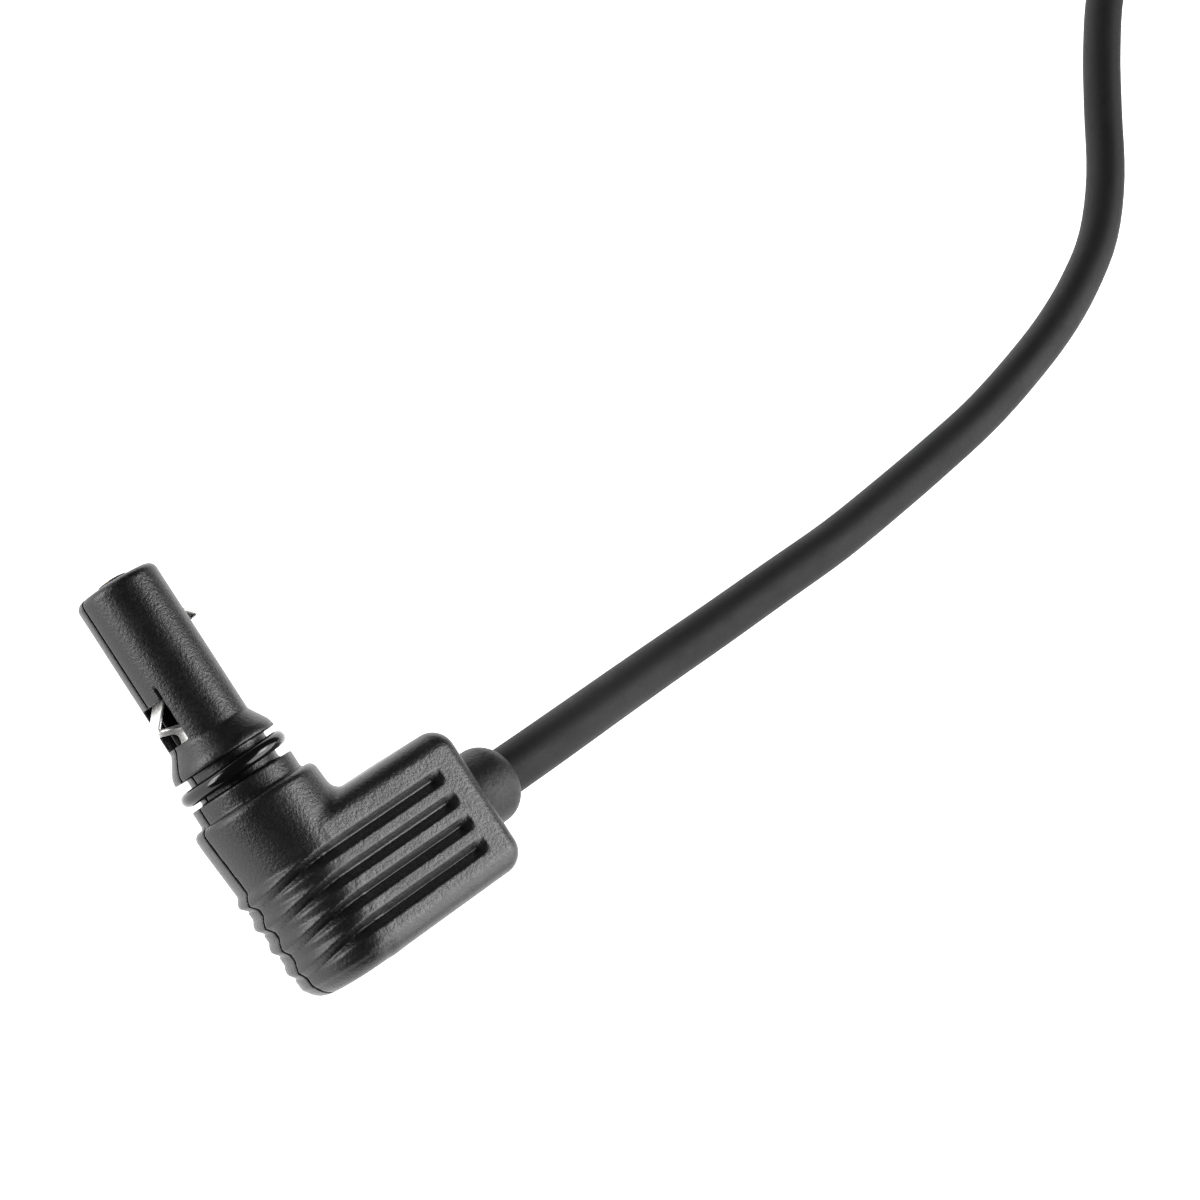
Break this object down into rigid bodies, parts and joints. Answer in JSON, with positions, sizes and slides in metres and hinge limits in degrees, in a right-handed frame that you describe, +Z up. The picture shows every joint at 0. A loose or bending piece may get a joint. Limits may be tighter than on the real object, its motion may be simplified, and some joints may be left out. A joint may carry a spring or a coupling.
{
  "type": "cable shutter release",
  "caption": "Electronic cable release: right-angle sealed camera plug with sprung contacts, thin black cord, handset with release button and lock.",
  "frame": {"origin": "on the plug barrel's axis, in the plane of its front rim, at the mouth of the centre contact", "axes": "+Y the way the plug goes into its socket, +X the way the cord leaves the plug, +Z up from the surface it lies on"},
  "size_m": [0.3217, 0.0589, 0.0156],
  "materials": {
    "plug_shell": "moulded, fine grain, satin",
    "seal_rubber": "glossy",
    "insulator": "moulded",
    "nickel": "bright nickel plate",
    "brass": "drawn",
    "soft_boss": "soft vinyl, coarse grain",
    "cord_jacket": "satin vinyl jacket",
    "crimp_steel": "stamped",
    "wire_red": "vinyl",
    "wire_white": "vinyl",
    "wire_yellow": "vinyl",
    "handset_plastic": "moulded, fine grain",
    "button_plastic": "smooth satin",
    "phenolic": "paper board",
    "screw_steel": "blackened",
    "spring_steel": "drawn wire"
  },
  "bodies": {
    "release_body": {"plug_front_shell": "plug_shell", "plug_rear_shell": "plug_shell", "o_ring": "seal_rubber", "contact_carrier": "insulator", "centre_contact": "brass", "solder_tags": "brass", "plug_strain_relief": "soft_boss", "cable_crimp": "crimp_steel", "plug_wire_centre": "wire_red", "plug_wire_tip": "wire_white", "plug_wire_base": "wire_yellow", "cord_lead": "cord_jacket", "cord_coil": "cord_jacket", "cord_tail": "cord_jacket", "handset_top_shell": "handset_plastic", "handset_bottom_shell": "handset_plastic", "handset_strain_relief": "soft_boss", "handset_cable_clamp": "crimp_steel", "button_spring": "spring_steel", "leaf_block": "phenolic", "leaf_screw": "screw_steel", "release_leaf": "brass", "handset_wire_common": "wire_red", "handset_wire_focus": "wire_white", "handset_wire_release": "wire_yellow", "housing_screws": "screw_steel"},
    "tip_spring": {"tip_contact_spring": "nickel"},
    "base_spring": {"base_contact_spring": "nickel"},
    "button": {"release_button": "button_plastic"},
    "lock": {"lock_slider": "button_plastic"},
    "common_blade": {"common_leaf": "brass"},
    "focus_blade": {"focus_leaf": "brass"}
  },
  "joints": [
    {"name": "release_press", "type": "slide", "parent": "release_body", "child": "button", "axis": [0, 0, -1], "range_m": [0, 0.0016], "stiffness_N_per_m": 600, "springref_m": -0.0015, "deforming": ["button_spring"]},
    {"name": "lock_slide", "type": "slide", "parent": "release_body", "child": "lock", "axis": [1, 0, 0], "range_m": [0, 0.004]},
    {"name": "common_flex", "type": "hinge", "parent": "release_body", "child": "common_blade", "pos_m": [0.2815, 0.0025, 0.0017], "axis": [0, 1, 0], "range_deg": [0, 7.84]},
    {"name": "focus_flex", "type": "hinge", "parent": "release_body", "child": "focus_blade", "pos_m": [0.2815, 0.0025, 0.0007], "axis": [0, 1, 0], "range_deg": [0, 5.17]},
    {"name": "tip_contact_flex", "type": "hinge", "parent": "release_body", "child": "tip_spring", "pos_m": [0.00235, -0.01256, 0], "axis": [0, 0, 1], "range_deg": [0, 6], "stiffness_Nm_per_rad": 0.01, "springref_deg": -2.86},
    {"name": "base_contact_flex", "type": "hinge", "parent": "release_body", "child": "base_spring", "pos_m": [-0.00235, -0.01655, 0], "axis": [0, 0, -1], "range_deg": [0, 7], "stiffness_Nm_per_rad": 0.01, "springref_deg": -2.86}
  ],
  "couplings": [
    {"joint": "common_flex", "follows": "release_press", "rad_per_m": 82.2},
    {"joint": "focus_flex", "follows": "release_press", "rad_per_m": 53.1}
  ]
}
